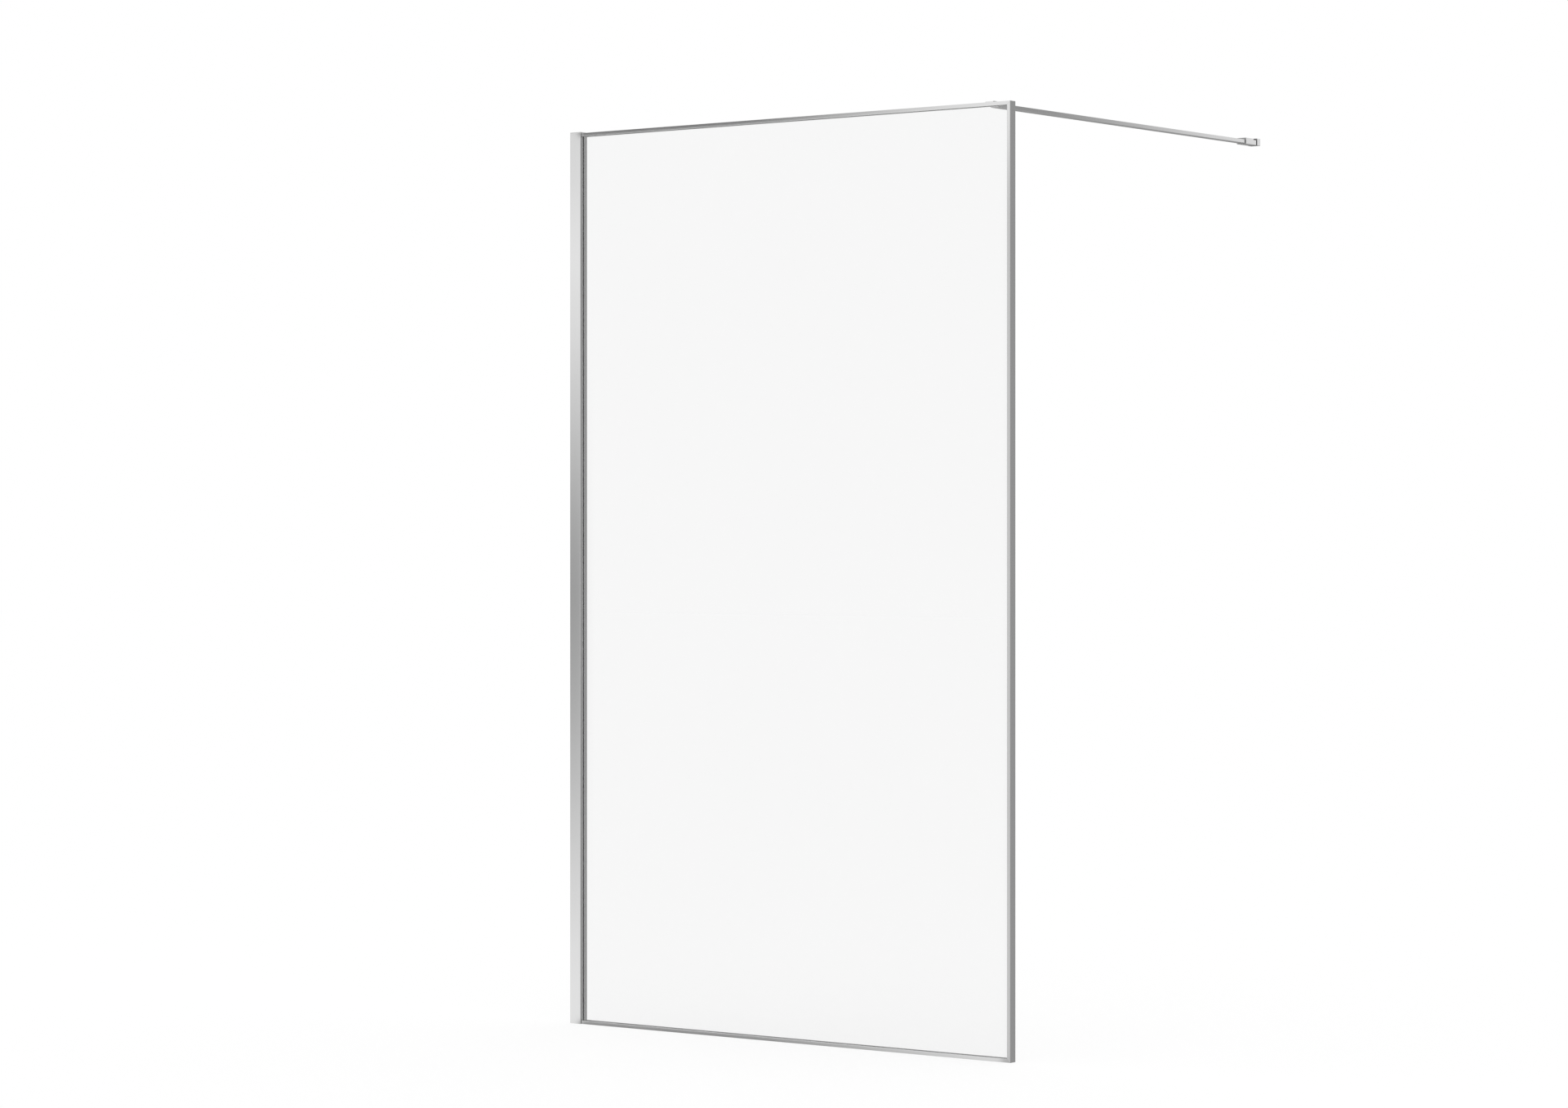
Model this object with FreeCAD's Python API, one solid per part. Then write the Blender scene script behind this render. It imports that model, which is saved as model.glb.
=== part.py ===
import FreeCAD
import Part
import math
import os

from FreeCAD import Vector

# Walk-in shower screen: a framed glass panel that slides in a wall channel, braced by a flat bar.
# Origin on the wall, at floor level, on the mid-depth of the frame.
# X runs from the wall to the free edge, Y towards the shower, Z up. All sizes are in millimetres.

# Panel frame
frame_height = 2000.0
reach = 1190.0
member_face = 8.0
member_depth = 20.0
member_outer_wall = 1.6
member_side_wall = 1.2
member_edge_radius = 0.5

# Glass and its gasket
glass_thickness = 6.0
glass_setback = 1.5
glass_cover = 5.0
gasket_lip = 1.0
gasket_base = 1.0
gasket_recess = 0.6

# Wall channel and its cap
channel_face = 30.0
channel_cheek = 2.5
channel_web = 2.5
channel_side_gap = 0.5
channel_edge_radius = 0.6
wall_hole_diameter = 5.5
wall_hole_from_end = 100.0
wall_hole_count = 4
cap_thickness = 2.0
cap_gap = 0.4
cap_plug_thickness = 2.6
cap_plug_depth = 10.0
cap_plug_gap = 0.1

# Wall stile and its clamp screws
stile_width = 17.0
stile_wall = 1.6
adjust_travel = 7.0
clamp_from_end = 150.0
clamp_count = 3
clamp_screw_diameter = 4.0
clamp_head_diameter = 8.0
clamp_head_height = 2.6
clamp_nut_width = 6.6
clamp_nut_height = 14.0
clamp_nut_thickness = 3.0
clamp_screw_tail = 1.5

# Corner keys and screws of the frame
key_leg = 34.0
key_gap = 0.1
key_barb_count = 3
key_barb_depth = 0.6
frame_screw_diameter = 3.5
frame_screw_head = 6.4
stile_screw_length = 26.0

# Brace bar
brace_from_edge = 52.5
bar_width = 20.0
bar_height = 8.0
bar_wall = 1.5
bar_edge_radius = 0.4
bar_drop = 1.5
bar_length = 1010.6
bar_fit_gap = 0.08

# Saddle on the top rail
saddle_plate = 2.0
saddle_front_inset = 0.5
saddle_block = 7.1
saddle_slope = 6.0
saddle_edge = 0.8
saddle_toe_length = 5.0
saddle_toe_rise = 1.8
saddle_tongue = 30.0
saddle_joint_line = 0.6
saddle_screw_length = 7.0
nut_plate_length = 20.0
nut_plate_thickness = 3.5
bar_grub_from_end = 15.0
bar_grub_length = 5.5

# Socket on the wall end of the bar
socket_width = 24.5
socket_length = 44.9
socket_floor = 1.9
socket_roof = 4.2
socket_edge_radius = 0.8
socket_end_radius = 0.8
bar_insert = 20.9
reach_in = 5.0
reach_stop_gap = 1.0
socket_grub_inset = 10.0
socket_grub_recess = 0.4
grub_diameter = 4.0

# Swivel
arm_thickness = 2.4
arm_tip_radius = 6.5
arm_leg = 2.4
arm_leg_width = 16.0
arm_leg_inset = 2.0
arm_pocket_gap = 0.2
arm_bend_radius = 1.2
swivel_gap = 4.0
swivel_washer_thickness = 0.5
swivel_washer_diameter = 10.4
pin_from_end = 5.3
pin_shoulder = 6.0
pin_thread = 5.0
pin_head = 9.2
pin_floor = 2.0
notch_gap = 0.5

# Wall flange
flange_depth = 11.7
flange_height = 15.9
flange_rise = 1.4
flange_wall = 1.5
flange_edge_radius = 1.0
base_gap = 0.2
base_hole_diameter = 4.4
base_hole_head = 7.0
base_hole_spacing = 13.2
arm_screw_diameter = 4.0
arm_screw_head = 7.6
arm_screw_length = 12.0

# Clearances shared by all screws, pins and their holes
thread_gap = 0.05
hole_gap = 0.3
running_gap = 0.05
slide_gap = 0.1
drive_share = 0.45

X = Vector(1, 0, 0)
Y = Vector(0, 1, 0)
Z = Vector(0, 0, 1)

# Levels across the depth of the frame
frame_front = -member_depth / 2
frame_back = member_depth / 2
glass_front = -glass_setback - glass_thickness / 2
glass_back = -glass_setback + glass_thickness / 2
slot_front = glass_front - gasket_lip
slot_back = glass_back + gasket_lip
back_chamber_near = slot_back + member_side_wall
back_chamber_far = frame_back - member_side_wall
back_chamber_middle = (back_chamber_near + back_chamber_far) / 2

# Levels from the outer face of a member towards the glass
glass_edge = member_face - glass_cover
slot_bottom = glass_edge - gasket_base
gasket_top_level = member_face - gasket_recess
chamber_roof = member_face - member_side_wall

# Wall channel and wall stile
channel_inner = frame_back + channel_side_gap
channel_outer = channel_inner + channel_cheek
channel_height = frame_height + cap_gap
stile_left = channel_face - stile_width
stile_slot_floor = channel_face - member_face + slot_bottom
stile_chamber_left = stile_left + stile_wall
stile_chamber_right = stile_slot_floor - stile_wall
stile_port = (stile_slot_floor + channel_face) / 2
clamp_x = stile_chamber_left + slide_gap + clamp_nut_width / 2
clamp_pitch = (frame_height - 2 * clamp_from_end) / (clamp_count - 1)
clamp_heights = [clamp_from_end + clamp_pitch * i for i in range(clamp_count)]
wall_hole_pitch = (frame_height - 2 * wall_hole_from_end) / (wall_hole_count - 1)
wall_hole_heights = [wall_hole_from_end + wall_hole_pitch * i for i in range(wall_hole_count)]

# Brace, from the panel to the other wall
bar_x = reach - brace_from_edge
bar_top = frame_height - bar_drop
bar_bottom = bar_top - bar_height
saddle_end = frame_back + saddle_block
bar_start = saddle_end + saddle_joint_line
bar_end = bar_start + bar_length
saddle_top = frame_height + saddle_plate
socket_start = bar_end - bar_insert
socket_end = socket_start + socket_length
socket_bottom = bar_bottom - socket_floor
socket_top = bar_top + socket_roof
pocket_end = bar_end + reach_in + reach_stop_gap
pin_y = socket_end - pin_from_end
arm_bottom = socket_top - arm_thickness
notch_floor = arm_bottom - swivel_washer_thickness
leg_front = socket_end + swivel_gap
flange_front = leg_front + arm_leg
wall_b = flange_front + flange_depth
flange_top = socket_top + flange_rise
flange_bottom = flange_top - flange_height
flange_middle = (flange_top + flange_bottom) / 2
leg_bottom = flange_bottom + arm_leg_inset


def rectangle(across, up, span_across, span_up, origin=Vector()):
    """Flat rectangular face between two limits along each of two directions."""
    (a0, a1), (b0, b1) = span_across, span_up
    corners = [(a0, b0), (a1, b0), (a1, b1), (a0, b1), (a0, b0)]
    return Part.Face(Part.makePolygon([origin + across * a + up * b for a, b in corners]))


def polygon(across, up, points, origin=Vector()):
    """Flat face with a straight-sided outline."""
    closed = points + points[:1]
    return Part.Face(Part.makePolygon([origin + across * a + up * b for a, b in closed]))


def rounded_rectangle(across, up, span_across, span_up, radius, origin=Vector()):
    """Flat rectangular face with its four corners rounded."""
    middle_a = sum(span_across) / 2
    middle_b = sum(span_up) / 2
    half_a = (span_across[1] - span_across[0]) / 2
    half_b = (span_up[1] - span_up[0]) / 2
    bulge = radius * (1 - math.sqrt(0.5))
    centre = origin + across * middle_a + up * middle_b
    arcs = []
    for sign_a, sign_b in ((1, 1), (-1, 1), (-1, -1), (1, -1)):
        on_side = centre + across * (sign_a * half_a) + up * (sign_b * (half_b - radius))
        on_top = centre + across * (sign_a * (half_a - radius)) + up * (sign_b * half_b)
        between = centre + across * (sign_a * (half_a - bulge)) + up * (sign_b * (half_b - bulge))
        ends = (on_side, on_top) if sign_a * sign_b > 0 else (on_top, on_side)
        arcs.append((ends[0], between, ends[1]))
    edges = []
    for i, (start, between, end) in enumerate(arcs):
        edges.append(Part.Arc(start, between, end).toShape())
        edges.append(Part.makeLine(end, arcs[(i + 1) % 4][0]))
    return Part.Face(Part.Wire(edges))


def edges_along(shape, direction):
    """Straight edges of a shape that run along a direction."""
    found = []
    for edge in shape.Edges:
        span = edge.Vertexes[-1].Point - edge.Vertexes[0].Point
        if span.Length > thread_gap and span.cross(direction).Length < thread_gap:
            found.append(edge)
    return found


def turned(points):
    """Solid of revolution about Z from an outline of radius and height pairs."""
    return polygon(X, Z, points).revolve(Vector(), Z, 360)


def placed(shape, at, toward):
    """Copy of a shape with its +Z turned towards a direction and its origin moved to a point."""
    copy = shape.copy()
    copy.Placement = FreeCAD.Placement(at, FreeCAD.Rotation(Z, toward))
    return copy


def hexagon_recess(across_flats, depth):
    """Hexagon drive recess, sunk from the level z = 0."""
    radius = across_flats / math.sqrt(3)
    angles = [math.tau * i / 6 for i in range(6)]
    corners = [(radius * math.cos(angle), radius * math.sin(angle)) for angle in angles]
    return polygon(X, Y, corners).extrude(Z * -depth)


def countersunk_screw(diameter, head, length):
    """Countersunk screw with its flat head top at z = 0 and its shank pointing down."""
    radius = diameter / 2
    cone = (head - diameter) / 2
    blank = turned([(0, 0), (head / 2, 0), (radius, -cone), (radius, -length), (0, -length)])
    return blank.cut(hexagon_recess(head * drive_share, cone))


def countersunk_hole(diameter, head, depth, gap):
    """Tool that cuts the seat and the hole of a countersunk screw."""
    radius = diameter / 2 + gap
    rim = head / 2 + gap
    return turned([(0, 0), (rim, 0), (radius, radius - rim), (radius, -depth), (0, -depth)])


def pan_screw(diameter, head, head_height, length):
    """Domed screw with the underside of its head at z = 0 and its shank pointing down."""
    radius = diameter / 2
    rim_height = head_height / 2
    shank = Part.makeCylinder(radius, length, Vector(), -Z)
    rise = head_height - rim_height
    dome_radius = ((head / 2) ** 2 + rise ** 2) / (2 * rise)
    dome = Part.makeSphere(dome_radius, Z * (head_height - dome_radius))
    blank = Part.makeCylinder(head / 2, head_height).common(dome)
    recess = hexagon_recess(head * drive_share, rim_height).translated(Z * head_height)
    return blank.cut(recess).fuse(shank).removeSplitter()


def grub_screw(diameter, length):
    """Headless screw with its driven end at z = 0, pointing down."""
    body = Part.makeCylinder(diameter / 2, length, Vector(), -Z)
    return body.cut(hexagon_recess(diameter * drive_share, length / 2))


def mitre_wedge(at, inward):
    """Tool that cuts a member to 45 degrees at one end, leaving its outer face full length."""
    points = [(at, 0), (at, member_face), (at + inward * member_face, member_face)]
    return polygon(X, Z, points, Y * -member_depth).extrude(Y * (2 * member_depth))


def mitred(solid, ends):
    """Solid cut to 45 degrees at each of the given ends: pairs of place along X and inward sign."""
    for at, inward in ends:
        solid = solid.cut(mitre_wedge(at, inward))
    return solid


def member_profile():
    """Section of a rail or of the free stile, outer face down, with a glazing slot and two chambers."""
    face = rounded_rectangle(Y, Z, (frame_front, frame_back), (0, member_face), member_edge_radius)
    chamber_height = (member_outer_wall, chamber_roof)
    front_chamber = (frame_front + member_side_wall, slot_front - member_side_wall)
    slot = rectangle(Y, Z, (slot_front, slot_back), (slot_bottom, member_face))
    front = rectangle(Y, Z, front_chamber, chamber_height)
    back = rectangle(Y, Z, (back_chamber_near, back_chamber_far), chamber_height)
    return face.cut([slot, front, back]).Faces[0]


def gasket_profile():
    """U section of the gasket, lying in a glazing slot that opens upwards."""
    return polygon(Y, Z, [
        (slot_front, slot_bottom),
        (slot_back, slot_bottom),
        (slot_back, gasket_top_level),
        (glass_back, gasket_top_level),
        (glass_back, glass_edge),
        (glass_front, glass_edge),
        (glass_front, gasket_top_level),
        (slot_front, gasket_top_level),
    ])


def upside_down(shape):
    """Mirror image of a bottom piece at the top of the frame."""
    return shape.mirror(Z * (frame_height / 2), Z)


def upright(shape):
    """Piece of the bottom rail turned to stand along the free edge."""
    copy = shape.copy()
    copy.rotate(Vector(), Y, -90)
    return copy.translated(X * reach)


def bottom_rail():
    """Rail with a mitred free end and the hole of the stile screw at the wall end."""
    solid = member_profile().extrude(X * (reach - stile_left)).translated(X * stile_left)
    solid = mitred(solid, [(reach, -1)])
    stile_hole = countersunk_hole(frame_screw_diameter, frame_screw_head, member_face, thread_gap)
    return solid.cut(placed(stile_hole, Vector(stile_port, back_chamber_middle, 0), -Z))


def top_rail():
    """Top rail, with the hole of the saddle screw in its top wall, over the back chamber."""
    radius = frame_screw_diameter / 2 + hole_gap
    place = Vector(bar_x, back_chamber_middle, frame_height)
    hole = Part.makeCylinder(radius, member_outer_wall, place, -Z)
    return upside_down(bottom_rail()).cut(hole)


def free_stile():
    """Stile of the free edge, mitred at both ends."""
    solid = member_profile().extrude(X * frame_height)
    return upright(mitred(solid, [(0, 1), (frame_height, -1)]))


def wall_stile():
    """Hollow stile that slides in the wall channel, with the glazing slot in its open side."""
    face = rectangle(X, Y, (stile_left, channel_face), (frame_front, frame_back))
    slot = rectangle(X, Y, (stile_slot_floor, channel_face), (slot_front, slot_back))
    front_wall = frame_front + stile_wall
    fin = slot_front - member_side_wall
    chamber = polygon(X, Y, [
        (stile_chamber_left, front_wall),
        (channel_face - member_side_wall, front_wall),
        (channel_face - member_side_wall, fin),
        (stile_chamber_right, fin),
        (stile_chamber_right, frame_back - stile_wall),
        (stile_chamber_left, frame_back - stile_wall),
    ])
    section = face.cut([slot, chamber]).Faces[0]
    solid = section.extrude(Z * (frame_height - 2 * member_face)).translated(Z * member_face)
    port_place = Vector(stile_port, back_chamber_middle, 0)
    port = Part.makeCylinder(frame_screw_diameter / 2 + thread_gap, frame_height, port_place)
    tools = [port]
    for z in clamp_heights:
        place = Vector(clamp_x, frame_back, z)
        tools.append(Part.makeCylinder(clamp_screw_diameter / 2 + hole_gap, stile_wall, place, -Y))
    return solid.cut(tools)


def bottom_gasket():
    """Gasket of the bottom edge, from the slot of the wall stile to the mitred corner."""
    solid = gasket_profile().extrude(X * (reach - stile_slot_floor)).translated(X * stile_slot_floor)
    return mitred(solid, [(reach, -1)])


def free_gasket():
    """Gasket of the free edge, mitred at both ends."""
    solid = gasket_profile().extrude(X * frame_height)
    return upright(mitred(solid, [(0, 1), (frame_height, -1)]))


def wall_gasket():
    """Gasket of the wall edge, between the two rails."""
    solid = gasket_profile().extrude(X * (frame_height - 2 * member_face))
    solid.rotate(Vector(), Y, -90)
    solid = solid.mirror(Vector(), X)
    return solid.translated(Vector(channel_face - member_face, 0, member_face))


def glass_pane():
    """Pane that stands in the gaskets on all four edges."""
    wide = (channel_face - member_face + glass_edge, reach - glass_edge)
    tall = (glass_edge, frame_height - glass_edge)
    return rectangle(X, Z, wide, tall, Y * glass_front).extrude(Y * glass_thickness)


def bottom_corner_key():
    """L-shaped key driven into the back chambers of the bottom rail and the free stile, with barbs."""
    outside = member_outer_wall + key_gap
    inside = chamber_roof - key_gap
    root = inside - key_barb_depth
    pitch = (key_leg - member_face) / (key_barb_count + 1)
    leg = [(inside, outside), (key_leg, outside), (key_leg, root)]
    for i in range(key_barb_count):
        along = key_leg - pitch * (i + 1)
        leg += [(along, inside), (along, root)]
    rail_leg = [(reach - along, level) for along, level in leg]
    stile_leg = [(reach - level, along) for along, level in reversed(leg)]
    outline = rail_leg + [(reach - root, root)] + stile_leg
    near = back_chamber_near + key_gap
    far = back_chamber_far - key_gap
    return polygon(X, Z, outline, Y * near).extrude(Y * (far - near))


def stile_screws():
    """Screws through the rails into the screw port of the wall stile."""
    screw = countersunk_screw(frame_screw_diameter, frame_screw_head, stile_screw_length)
    lower = placed(screw, Vector(stile_port, back_chamber_middle, 0), -Z)
    return Part.makeCompound([lower, upside_down(lower)])


def wall_channel():
    """U extrusion on the wall, with round wall holes and clamp slots in its shower-side cheek."""
    outline = [
        (0, -channel_outer),
        (channel_face, -channel_outer),
        (channel_face, -channel_inner),
        (channel_web, -channel_inner),
        (channel_web, channel_inner),
        (channel_face, channel_inner),
        (channel_face, channel_outer),
        (0, channel_outer),
    ]
    solid = polygon(X, Y, outline).extrude(Z * channel_height)
    lips = []
    for edge in edges_along(solid, Z):
        at_mouth = abs(edge.CenterOfMass.x - channel_face) < thread_gap
        if at_mouth and abs(edge.CenterOfMass.y) > channel_inner + thread_gap:
            lips.append(edge)
    solid = solid.makeFillet(channel_edge_radius, lips)
    half_width = clamp_screw_diameter / 2 + hole_gap
    half_length = adjust_travel + half_width
    tools = []
    for z in clamp_heights:
        span = (clamp_x - half_length, clamp_x + half_length)
        slot = slot_face(span, z, half_width)
        tools.append(slot.extrude(Y * channel_cheek))
    for z in wall_hole_heights:
        tools.append(Part.makeCylinder(wall_hole_diameter / 2, channel_web, Vector(0, 0, z), X))
    return solid.cut(tools)


def slot_face(span, height, radius):
    """Round-ended slot outline on the inner side of the shower-side cheek."""
    left = span[0] + radius
    right = span[1] - radius
    top = height + radius
    low = height - radius
    at = [Vector(x, channel_inner, z) for x, z in ((left, low), (right, low), (right, top), (left, top))]
    edges = [
        Part.makeLine(at[0], at[1]),
        Part.Arc(at[1], Vector(span[1], channel_inner, height), at[2]).toShape(),
        Part.makeLine(at[2], at[3]),
        Part.Arc(at[3], Vector(span[0], channel_inner, height), at[0]).toShape(),
    ]
    return Part.Face(Part.Wire(edges))


def channel_cap():
    """Cap that closes the top end of the wall channel, with a plug behind the stile's travel."""
    plate = rectangle(X, Y, (0, channel_face), (-channel_outer, channel_outer), Z * channel_height)
    plate = plate.extrude(Z * cap_thickness)
    top = channel_height + cap_thickness
    rim = []
    for edge in plate.Edges:
        if edge.BoundBox.ZMin > top - thread_gap and edge.CenterOfMass.x > thread_gap:
            rim.append(edge)
    plate = plate.makeFillet(channel_edge_radius, rim)
    plug_left = channel_web + cap_plug_gap
    plug_half = channel_inner - cap_plug_gap
    plug_wide = (plug_left, plug_left + cap_plug_thickness)
    plug = rectangle(X, Y, plug_wide, (-plug_half, plug_half), Z * channel_height)
    return plate.fuse(plug.extrude(Z * -cap_plug_depth)).removeSplitter()


def clamp_nuts():
    """Threaded plates against the inner side of the wall stile's shower-side wall."""
    seat = frame_back - stile_wall
    half_width = clamp_nut_width / 2
    half_height = clamp_nut_height / 2
    nuts = []
    wide = (clamp_x - half_width, clamp_x + half_width)
    bore_radius = clamp_screw_diameter / 2 + thread_gap
    for z in clamp_heights:
        face = rectangle(X, Z, wide, (z - half_height, z + half_height), Y * seat)
        bore = Part.makeCylinder(bore_radius, clamp_nut_thickness, Vector(clamp_x, seat, z), -Y)
        nuts.append(face.extrude(Y * -clamp_nut_thickness).cut(bore))
    return Part.makeCompound(nuts)


def clamp_screws():
    """Domed screws through the slots of the channel into the nuts in the wall stile."""
    seat = channel_outer + slide_gap
    tip = frame_back - stile_wall - clamp_nut_thickness - clamp_screw_tail
    screw = pan_screw(clamp_screw_diameter, clamp_head_diameter, clamp_head_height, seat - tip)
    return Part.makeCompound([placed(screw, Vector(clamp_x, seat, z), Y) for z in clamp_heights])


def saddle_screw_place():
    """Centre of the saddle screw's head, over the back chamber of the top rail."""
    return Vector(bar_x, back_chamber_middle, saddle_top)


def bar_grub_place():
    """Centre of the grub screw's driven end, on the underside of the bar."""
    return Vector(bar_x, bar_start + bar_grub_from_end, bar_bottom)


def brace_saddle():
    """Saddle over the top rail that carries the bar on a tongue behind the rail."""
    front = frame_front + saddle_front_inset
    outline = [
        (front, frame_height),
        (front, saddle_top - saddle_edge),
        (front + saddle_edge, saddle_top),
        (saddle_end - saddle_slope, saddle_top),
        (saddle_end, bar_top),
        (saddle_end, bar_bottom),
        (frame_back + saddle_toe_length, bar_bottom),
        (frame_back, bar_bottom + saddle_toe_rise),
        (frame_back, frame_height),
    ]
    half_width = bar_width / 2
    body = polygon(Y, Z, outline, X * (bar_x - half_width)).extrude(X * bar_width)
    inset = bar_wall + bar_fit_gap
    across = (bar_x - half_width + inset, bar_x + half_width - inset)
    tongue = rectangle(X, Z, across, (bar_bottom + inset, bar_top - inset), Y * saddle_end)
    solid = body.fuse(tongue.extrude(Y * (saddle_joint_line + saddle_tongue))).removeSplitter()
    seat = countersunk_hole(frame_screw_diameter, frame_screw_head, saddle_plate, thread_gap)
    grub_hole = Part.makeCylinder(grub_diameter / 2 + thread_gap, bar_height, bar_grub_place())
    return solid.cut([placed(seat, saddle_screw_place(), Z), grub_hole])


def saddle_nut_plate():
    """Threaded plate in the back chamber of the top rail, under the saddle."""
    top = frame_height - member_outer_wall
    half_length = nut_plate_length / 2
    across = (back_chamber_near + key_gap, back_chamber_far - key_gap)
    plate = rectangle(X, Y, (bar_x - half_length, bar_x + half_length), across, Z * top)
    radius = frame_screw_diameter / 2 + thread_gap
    bore_place = Vector(bar_x, back_chamber_middle, top)
    bore = Part.makeCylinder(radius, nut_plate_thickness, bore_place, -Z)
    return plate.extrude(Z * -nut_plate_thickness).cut(bore)


def saddle_screw():
    """Screw through the saddle and the rail into the nut plate."""
    screw = countersunk_screw(frame_screw_diameter, frame_screw_head, saddle_screw_length)
    return placed(screw, saddle_screw_place(), Z)


def brace_bar():
    """Flat rectangular tube from the saddle to the wall socket."""
    half_width = bar_width / 2
    wide = (bar_x - half_width, bar_x + half_width)
    outer = rounded_rectangle(X, Z, wide, (bar_bottom, bar_top), bar_edge_radius, Y * bar_start)
    hollow_wide = (wide[0] + bar_wall, wide[1] - bar_wall)
    hollow = rectangle(X, Z, hollow_wide, (bar_bottom + bar_wall, bar_top - bar_wall), Y * bar_start)
    tube = outer.cut(hollow).Faces[0].extrude(Y * bar_length)
    return tube.cut(Part.makeCylinder(grub_diameter / 2 + thread_gap, bar_wall, bar_grub_place()))


def bar_grub_screw():
    """Grub screw from below, through the bar into the tongue of the saddle."""
    return placed(grub_screw(grub_diameter, bar_grub_length), bar_grub_place(), -Z)


def socket_grub_place(level):
    """Place of the socket's grub screw at a level, over the wall end of the bar."""
    return Vector(bar_x, socket_start + socket_grub_inset, level)


def bar_socket():
    """Socket on the wall end of the bar, with a blind pocket and a notch for the swivel arm."""
    half_width = socket_width / 2
    wide = (bar_x - half_width, bar_x + half_width)
    block = rounded_rectangle(X, Z, wide, (socket_bottom, socket_top), socket_edge_radius, Y * socket_start)
    block = block.extrude(Y * socket_length)
    plan = rounded_rectangle(X, Y, wide, (socket_start - socket_length, socket_end), socket_end_radius)
    height = socket_top - socket_bottom
    block = block.common(plan.extrude(Z * height).translated(Z * socket_bottom))
    half_bar = bar_width / 2 + bar_fit_gap
    pocket_wide = (bar_x - half_bar, bar_x + half_bar)
    pocket_tall = (bar_bottom - bar_fit_gap, bar_top + bar_fit_gap)
    pocket = rounded_rectangle(X, Z, pocket_wide, pocket_tall, bar_edge_radius, Y * socket_start)
    pocket = pocket.extrude(Y * (pocket_end - socket_start))
    notch_start = pin_y - arm_tip_radius - notch_gap
    notch = rectangle(X, Y, wide, (notch_start, socket_end), Z * notch_floor)
    notch = notch.extrude(Z * (socket_top - notch_floor))
    pin_place = Vector(bar_x, pin_y, socket_top)
    pin_hole = Part.makeCylinder(pin_thread / 2 + thread_gap, height - pin_floor, pin_place, -Z)
    grub_place = socket_grub_place(socket_top)
    grub_hole = Part.makeCylinder(grub_diameter / 2 + thread_gap, socket_roof, grub_place, -Z)
    return block.cut([pocket, notch, pin_hole, grub_hole])


def socket_grub_screw():
    """Grub screw in the roof of the socket that locks the bar."""
    length = socket_roof - socket_grub_recess - slide_gap
    return placed(grub_screw(grub_diameter, length), socket_grub_place(socket_top - socket_grub_recess), Z)


def swivel_pin():
    """Shoulder screw in the socket that the swivel arm turns on."""
    shoulder = pin_shoulder / 2
    thread = pin_thread / 2
    head = pin_head / 2 - slide_gap
    cone = head - shoulder
    top = socket_top - slide_gap
    shoulder_end = notch_floor - top
    tip = socket_bottom + pin_floor + slide_gap - top
    outline = [
        (0, 0),
        (head, 0),
        (shoulder, -cone),
        (shoulder, shoulder_end),
        (thread, shoulder_end),
        (thread, tip),
        (0, tip),
    ]
    pin = turned(outline).cut(hexagon_recess(pin_head * drive_share, cone))
    return placed(pin, Vector(bar_x, pin_y, top), Z)


def swivel_washer():
    """Friction washer between the socket's notch and the swivel arm."""
    bore = pin_shoulder / 2 + running_gap
    ring = rectangle(X, Z, (bore, swivel_washer_diameter / 2), (0, swivel_washer_thickness))
    return ring.revolve(Vector(), Z, 360).translated(Vector(bar_x, pin_y, notch_floor))


def arm_plan():
    """Plan outline of the swivel arm's tongue, rounded about the pin."""
    left = bar_x - arm_tip_radius
    right = bar_x + arm_tip_radius
    tip = Vector(bar_x, pin_y - arm_tip_radius, arm_bottom)
    corners = [(left, flange_front), (left, pin_y), (right, pin_y), (right, flange_front)]
    at = [Vector(x, y, arm_bottom) for x, y in corners]
    edges = [
        Part.makeLine(at[0], at[1]),
        Part.Arc(at[1], tip, at[2]).toShape(),
        Part.makeLine(at[2], at[3]),
        Part.makeLine(at[3], at[0]),
    ]
    return Part.Face(Part.Wire(edges))


def arm_screw_place():
    """Centre of the arm screw's head on the front of the swivel arm's leg."""
    return Vector(bar_x, leg_front, flange_middle)


def swivel_arm():
    """L-shaped arm: a tongue that turns on the pin and a leg that lies in the front of the wall flange."""
    tongue = arm_plan().extrude(Z * arm_thickness)
    half_width = arm_leg_width / 2
    leg_wide = (bar_x - half_width, bar_x + half_width)
    leg = rectangle(X, Z, leg_wide, (leg_bottom, socket_top), Y * leg_front)
    solid = tongue.fuse(leg.extrude(Y * arm_leg)).removeSplitter()
    inner_bend = Vector(bar_x, leg_front, arm_bottom)
    bend = [edge for edge in edges_along(solid, X) if (edge.CenterOfMass - inner_bend).Length < thread_gap]
    solid = solid.makeFillet(arm_bend_radius, bend)
    pin_hole = countersunk_hole(pin_shoulder, pin_head, arm_thickness, running_gap)
    screw_hole = countersunk_hole(arm_screw_diameter, arm_screw_head, arm_leg, hole_gap)
    pin_tool = placed(pin_hole, Vector(bar_x, pin_y, socket_top), Z)
    return solid.cut([pin_tool, placed(screw_hole, arm_screw_place(), -Y)])


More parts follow.
